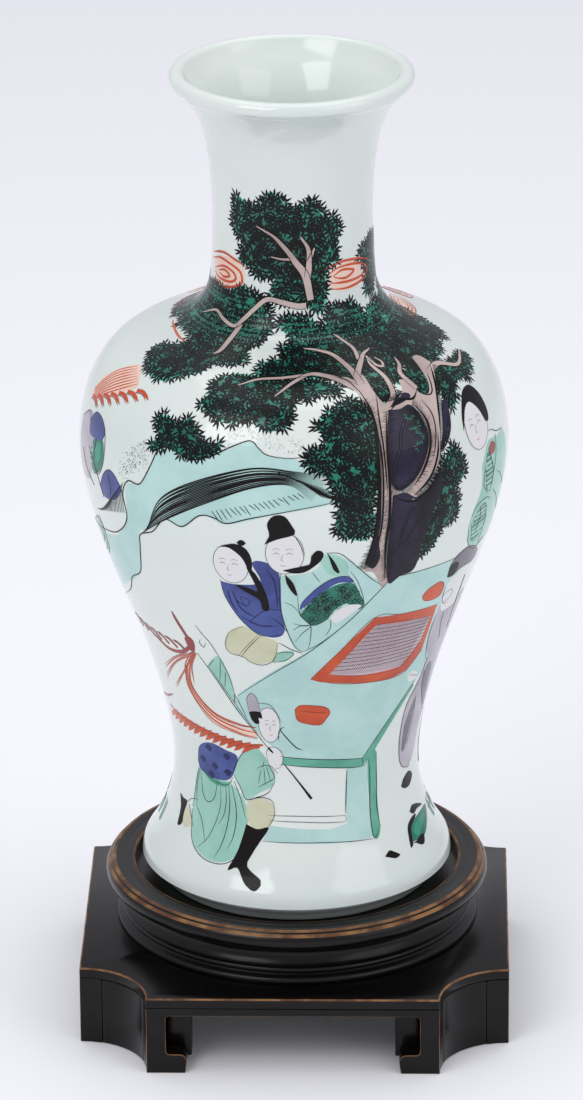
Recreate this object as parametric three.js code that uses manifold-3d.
import * as THREE from 'three';
import { mergeVertices } from 'three/addons/utils/BufferGeometryUtils.js';
import Module from 'manifold-3d';

const wasm = await Module();
wasm.setup();

// All sizes in millimetres. Z is up, the front is -Y, the stand's feet are on z = 0.

// Stand, plan
const STAND_WIDTH = 155;          // across the straight fronts
const CORNER_RADIUS = 25;         // the hollow quarter round taken out of each corner
const APRON_THICKNESS = 8;        // sawn boards round the stand
const COVE_THICKNESS = 8;         // hollow post between two aprons
// Stand, heights
const STAND_HEIGHT = 29.4;        // floor to the top of the board
const BOARD_THICKNESS = 4;
const RAIL_DEPTH = 2.8;           // apron wood left under the board
// Legs, cut from the ends of each apron
const LEG_WIDTH = 7;
const HOOK_REACH = 7.5;           // inward toe of a leg
const HOOK_HEIGHT = 7.3;
const HOOK_TIP_RADIUS = 2.6;
const FILLET_RADIUS = 1.4;        // saw corners of the opening
// Glue blocks
const BLOCK_REACH = 33;           // from the apron's back, along it
const BLOCK_FACE = 9.5;           // depth of a block behind an apron
const BLOCK_LIFT = 3;             // off the floor
// Turned seat
const SEAT_RADIUS = 69.8;         // widest, at the rounded edge
const SEAT_TOP_RADIUS = 67.6;     // worn upper edge
const SEAT_TOP = 51.5;            // floor to the land round the vase
const SEAT_NECK_RADIUS = 61;      // hollow under the rounded edge
const SEAT_BEAD_RADIUS = 64;
const SEAT_BASE_RADIUS = 66.2;
const RECESS_RADIUS = 58.9;       // sunk floor that takes the foot
const RECESS_DEPTH = 4;
// Vase
const VASE_HEIGHT = 304.9;
const FOOT_RADIUS = 56.4;         // splayed foot, widest
const FOOT_SWELL = 7.2;           // height of that widest place
const STANDING_RADIUS = 50;       // outside of the ring it stands on
const RING_WIDTH = 4.5;           // unglazed ring
const BASE_RECESS = 6;            // hollow under the base
const BASE_THICKNESS = 6;
const WAIST_RADIUS = 44.4;
const WAIST_HEIGHT = 46;
const BELLY_RADIUS = 76.6;
const BELLY_HEIGHT = 168;
const SHOULDER_HEIGHT = 217;      // where the shoulder meets the neck
const NECK_RADIUS = 28.4;
const NECK_HEIGHT = 250;          // narrowest place
const MOUTH_RADIUS = 43.1;        // outside of the rolled lip
const LIP_ROLL = 2.8;             // radius of the roll
const WALL = 4.5;
// Fits
const GLUE_GAP = 0.3;             // curved faces stay this far apart

const TURN_STEPS = 60;
const ARC_STEPS = 10;

const lacquer = new THREE.MeshStandardMaterial({ color: 0x17110f, roughness: 0.38 });
const lacquerEdge = new THREE.MeshStandardMaterial({ color: 0x1f1511, roughness: 0.42 });
const bareWood = new THREE.MeshStandardMaterial({ color: 0x3a2418, roughness: 0.8 });
const porcelain = new THREE.MeshStandardMaterial({ color: 0xe6eae8, roughness: 0.12 });

function volumeOf(geometry) {
  const p = geometry.getAttribute('position');
  const ix = geometry.getIndex();
  const a = new THREE.Vector3(), b = new THREE.Vector3(), c = new THREE.Vector3();
  let six = 0;
  for (let i = 0; i < ix.count; i += 3) {
    a.fromBufferAttribute(p, ix.getX(i));
    b.fromBufferAttribute(p, ix.getX(i + 1));
    c.fromBufferAttribute(p, ix.getX(i + 2));
    six += a.dot(b.cross(c));
  }
  return six / 6;
}

// One welded closed body facing out.
function closed(geometry) {
  const g = geometry.index ? geometry.toNonIndexed() : geometry.clone();
  g.deleteAttribute('normal');
  g.deleteAttribute('uv');
  let welded = mergeVertices(g, 1e-4);
  const ix = Array.from(welded.getIndex().array);
  const kept = [];
  for (let i = 0; i < ix.length; i += 3) {
    const [a, b, c] = [ix[i], ix[i + 1], ix[i + 2]];
    if (a !== b && b !== c && c !== a) kept.push(a, b, c);
  }
  welded.setIndex(kept);
  if (volumeOf(welded) < 0) {
    for (let i = 0; i < kept.length; i += 3) {
      const t = kept[i + 1];
      kept[i + 1] = kept[i + 2];
      kept[i + 2] = t;
    }
    welded.setIndex(kept);
  }
  return welded;
}

function toSolid(geometry) {
  const g = closed(geometry);
  return new wasm.Manifold(new wasm.Mesh({
    numProp: 3,
    vertProperties: new Float32Array(g.getAttribute('position').array),
    triVerts: new Uint32Array(g.getIndex().array),
  }));
}

function fromSolid(solid) {
  const m = solid.getMesh();
  const g = new THREE.BufferGeometry();
  const points = new Float32Array(m.numVert * 3);
  for (let i = 0; i < m.numVert; i++) {
    for (let k = 0; k < 3; k++) points[i * 3 + k] = m.vertProperties[i * m.numProp + k];
  }
  g.setAttribute('position', new THREE.BufferAttribute(points, 3));
  g.setIndex(Array.from(m.triVerts));
  return closed(g);
}

function meshOf(name, geometry, material) {
  geometry.computeVertexNormals();
  const mesh = new THREE.Mesh(geometry, material.clone());
  mesh.name = name;
  return mesh;
}

// Revolve [radius, height] pairs that start and end on the axis.
function turned(profile) {
  const points = profile.map(([r, h]) => new THREE.Vector2(r, h));
  const g = new THREE.LatheGeometry(points, TURN_STEPS);
  g.rotateX(Math.PI / 2);
  return closed(g);
}

function arcPoints(cx, cy, r, from, to, steps) {
  const out = [];
  for (let i = 0; i <= steps; i++) {
    const t = from + (to - from) * i / steps;
    out.push([cx + r * Math.cos(t), cy + r * Math.sin(t)]);
  }
  return out;
}

function extruded(outline, depth) {
  const shape = new THREE.Shape(outline.map(([x, y]) => new THREE.Vector2(x, y)));
  return new THREE.ExtrudeGeometry(shape, { depth, bevelEnabled: false });
}

const half = STAND_WIDTH / 2;
const apronTop = STAND_HEIGHT - BOARD_THICKNESS;
const apronBack = half - APRON_THICKNESS;

// The board over the aprons, with its four hollow corners.
function topBoard() {
  const outline = [];
  for (let q = 0; q < 4; q++) {
    const turn = q * Math.PI / 2;
    const cove = arcPoints(half, half, CORNER_RADIUS, -Math.PI / 2, -Math.PI, ARC_STEPS);
    for (const [x, y] of cove) {
      outline.push([x * Math.cos(turn) - y * Math.sin(turn), x * Math.sin(turn) + y * Math.cos(turn)]);
    }
  }
  const g = extruded(outline, BOARD_THICKNESS);
  g.translate(0, 0, apronTop);
  return closed(g);
}

// One apron board: rail, two legs and their inward toes, sawn from one plank.
function apronGeometry() {
  const legOut = half - CORNER_RADIUS;
  const legIn = legOut - LEG_WIDTH;
  const toe = legIn - HOOK_REACH;
  const railUnder = apronTop - RAIL_DEPTH;
  const end = half - Math.sqrt(CORNER_RADIUS ** 2 - APRON_THICKNESS ** 2) + 1;
  const f = FILLET_RADIUS;
  const t = HOOK_TIP_RADIUS;
  const right = [
    [end, 0],
    [end, apronTop],
  ];
  const opening = [
    ...arcPoints(legIn - f, railUnder - f, f, Math.PI / 2, 0, 4),
    ...arcPoints(legIn - f, HOOK_HEIGHT + f, f, 0, -Math.PI / 2, 4),
    ...arcPoints(toe + t, HOOK_HEIGHT - t, t, Math.PI / 2, Math.PI, 5),
    [toe + t * 0.25, 0],
  ];
  const mirror = (list) => list.map(([x, y]) => [-x, y]).reverse();
  const outline = [
    ...right, ...mirror(right),
    ...mirror(opening), ...opening,
  ];
  const g = extruded(outline, APRON_THICKNESS);
  g.rotateX(Math.PI / 2);
  g.translate(0, -apronBack, 0);
  let solid = toSolid(g);
  const cutterSteps = ARC_STEPS * 4;
  for (const side of [-1, 1]) {
    const cutter = wasm.Manifold.cylinder(apronTop + 2, CORNER_RADIUS, CORNER_RADIUS, cutterSteps)
      .translate([side * half, -half, -1]);
    solid = solid.subtract(cutter);
  }
  return fromSolid(solid);
}

// Hollow post that joins two aprons, built for the +X -Y corner.
function coveGeometry() {
  const outer = CORNER_RADIUS;
  const inner = CORNER_RADIUS + COVE_THICKNESS;
  const a0 = Math.asin(APRON_THICKNESS / outer);
  const a1 = Math.asin(APRON_THICKNESS / inner);
  const outline = [
    ...arcPoints(half, -half, outer, Math.PI - a0, Math.PI / 2 + a0, ARC_STEPS),
    ...arcPoints(half, -half, inner, Math.PI / 2 + a1, Math.PI - a1, ARC_STEPS),
  ];
  return closed(extruded(outline, apronTop));
}

// Glue block behind the post, built for the +X -Y corner.
function blockGeometry() {
  const radius = CORNER_RADIUS + COVE_THICKNESS + GLUE_GAP;
  const a = Math.asin(APRON_THICKNESS / radius);
  const far = apronBack - BLOCK_REACH;
  const step = apronBack - BLOCK_FACE;
  const outline = [
    [far, -apronBack],
    ...arcPoints(half, -half, radius, Math.PI - a, Math.PI / 2 + a, ARC_STEPS),
    [apronBack, -far],
    [step, -far],
    [far, -step],
  ];
  const g = extruded(outline, apronTop - BLOCK_LIFT);
  g.translate(0, 0, BLOCK_LIFT);
  return closed(g);
}

// Seat turned from one disc, its underside flat on the board.
function seatGeometry() {
  const floor = SEAT_TOP - RECESS_DEPTH;
  const rise = SEAT_TOP - STAND_HEIGHT;
  const at = (share) => STAND_HEIGHT + rise * share;
  const profile = [
    [0, STAND_HEIGHT],
    [SEAT_BASE_RADIUS - 0.5, STAND_HEIGHT],
    [SEAT_BASE_RADIUS, at(0.02)],
    [SEAT_BASE_RADIUS, at(0.08)],
    [SEAT_BASE_RADIUS - 0.7, at(0.12)],
    [SEAT_BEAD_RADIUS - 0.4, at(0.17)],
    [SEAT_BEAD_RADIUS, at(0.22)],
    [SEAT_BEAD_RADIUS, at(0.28)],
    [SEAT_BEAD_RADIUS - 0.6, at(0.32)],
    [SEAT_NECK_RADIUS + 0.7, at(0.37)],
    [SEAT_NECK_RADIUS, at(0.43)],
    [SEAT_NECK_RADIUS, at(0.50)],
    [SEAT_NECK_RADIUS + 0.8, at(0.57)],
    [SEAT_NECK_RADIUS + 2.6, at(0.63)],
    [SEAT_RADIUS - 3.6, at(0.68)],
    [SEAT_RADIUS - 1.2, at(0.74)],
    [SEAT_RADIUS - 0.1, at(0.80)],
    [SEAT_RADIUS, at(0.86)],
    [SEAT_RADIUS - 0.5, at(0.93)],
    [SEAT_TOP_RADIUS + 0.7, at(0.97)],
    [SEAT_TOP_RADIUS, SEAT_TOP],
    [RECESS_RADIUS + 0.6, SEAT_TOP],
    [RECESS_RADIUS, SEAT_TOP - 0.6],
    [RECESS_RADIUS, floor],
    [0, floor],
  ];
  return turned(profile);
}

// Points along a soft curve through the knots, kept level or rising.
function soften(knots, perSpan) {
  const curve = new THREE.CatmullRomCurve3(
    knots.map(([r, h]) => new THREE.Vector3(r, h, 0)), false, 'centripetal');
  const out = [];
  const spans = knots.length - 1;
  for (let i = 0; i <= spans * perSpan; i++) {
    const p = curve.getPoint(i / (spans * perSpan));
    out.push([p.x, p.y]);
  }
  return out;
}

// Outer line of the vase between the foot's swell and the start of the rolled lip.
function bodyKnots() {
  const lipFoot = VASE_HEIGHT - LIP_ROLL * 2;
  const mix = (a, b, t) => a + (b - a) * t;
  const span = (r0, r1, h0, h1, list) => list.map(([s, t]) => [mix(r0, r1, s), mix(h0, h1, t)]);
  return [
    ...span(FOOT_RADIUS, WAIST_RADIUS, FOOT_SWELL, WAIST_HEIGHT,
      [[0, 0], [0.06, 0.11], [0.34, 0.25], [0.70, 0.47], [0.93, 0.72]]),
    ...span(WAIST_RADIUS, BELLY_RADIUS, WAIST_HEIGHT, BELLY_HEIGHT,
      [[0, 0], [0.03, 0.09], [0.137, 0.221], [0.298, 0.369], [0.503, 0.516], [0.711, 0.664],
        [0.888, 0.811], [0.99, 0.951]]),
    ...span(BELLY_RADIUS, NECK_RADIUS, BELLY_HEIGHT, SHOULDER_HEIGHT,
      [[0.006, 0.143], [0.075, 0.439], [0.214, 0.665], [0.386, 0.794], [0.664, 0.906]]),
    ...span(BELLY_RADIUS, NECK_RADIUS, SHOULDER_HEIGHT, NECK_HEIGHT,
      [[0.865, 0.018], [0.965, 0.26], [1, 0.88]]),
    ...span(NECK_RADIUS, MOUTH_RADIUS - LIP_ROLL, NECK_HEIGHT, lipFoot,
      [[0.01, 0.20], [0.105, 0.477], [0.302, 0.71], [0.63, 0.872], [0.94, 0.97]]),
  ];
}

function vaseGeometry() {
  const bottom = SEAT_TOP - RECESS_DEPTH;
  const body = soften(bodyKnots(), 1);
  const foot = [
    [STANDING_RADIUS - RING_WIDTH, 0],
    [STANDING_RADIUS, 0],
    [STANDING_RADIUS + (FOOT_RADIUS - STANDING_RADIUS) * 0.1, FOOT_SWELL * 0.28],
    [STANDING_RADIUS + (FOOT_RADIUS - STANDING_RADIUS) * 0.36, FOOT_SWELL * 0.56],
    [STANDING_RADIUS + (FOOT_RADIUS - STANDING_RADIUS) * 0.78, FOOT_SWELL * 0.78],
  ];
  const under = [
    [0, BASE_RECESS + 1],
    [(STANDING_RADIUS - RING_WIDTH) * 0.5, BASE_RECESS + 0.7],
    [STANDING_RADIUS - RING_WIDTH - 3, BASE_RECESS],
    [STANDING_RADIUS - RING_WIDTH - 0.8, BASE_RECESS * 0.8],
  ];
  const rollX = MOUTH_RADIUS - LIP_ROLL;
  const rollZ = VASE_HEIGHT - LIP_ROLL;
  const lip = arcPoints(rollX, rollZ, LIP_ROLL, -Math.PI * 0.38, Math.PI * 0.86, 9);
  const floor = BASE_RECESS + BASE_THICKNESS;
  const inside = [];
  for (let i = 1; i < body.length - 1; i++) {
    const [r0, h0] = body[i - 1];
    const [r1, h1] = body[i + 1];
    const length = Math.hypot(r1 - r0, h1 - h0);
    const nr = (h1 - h0) / length;
    const nh = -(r1 - r0) / length;
    const r = body[i][0] - nr * WALL;
    const h = body[i][1] - nh * WALL;
    if (h > floor + 4 && h < rollZ - LIP_ROLL * 0.6) inside.push([r, h]);
  }
  inside.reverse();
  const low = inside[inside.length - 1];
  const profile = [
    ...under, ...foot, ...body.slice(0, -1), ...lip, ...inside,
    [low[0] - 2, floor + 1.5], [low[0] - 8, floor + 0.3], [0, floor],
  ].map(([r, h]) => [r, h + bottom]);
  return turned(profile);
}

const group = new THREE.Group();
group.name = 'famille_verte_vase_on_stand';

group.add(meshOf('vase', vaseGeometry(), porcelain));
group.add(meshOf('seat_disc', seatGeometry(), lacquer));
group.add(meshOf('top_board', topBoard(), lacquerEdge));

const sides = [['front', 0], ['right', 1], ['back', 2], ['left', 3]];
for (const [name, q] of sides) {
  const g = apronGeometry();
  g.rotateZ(q * Math.PI / 2);
  group.add(meshOf(`apron_${name}`, g, lacquer));
}
const corners = [['front_right', 0], ['back_right', 1], ['back_left', 2], ['front_left', 3]];
for (const [name, q] of corners) {
  const post = coveGeometry();
  post.rotateZ(q * Math.PI / 2);
  group.add(meshOf(`corner_cove_${name}`, post, lacquer));
  const block = blockGeometry();
  block.rotateZ(q * Math.PI / 2);
  group.add(meshOf(`corner_block_${name}`, block, bareWood));
}

export default group;
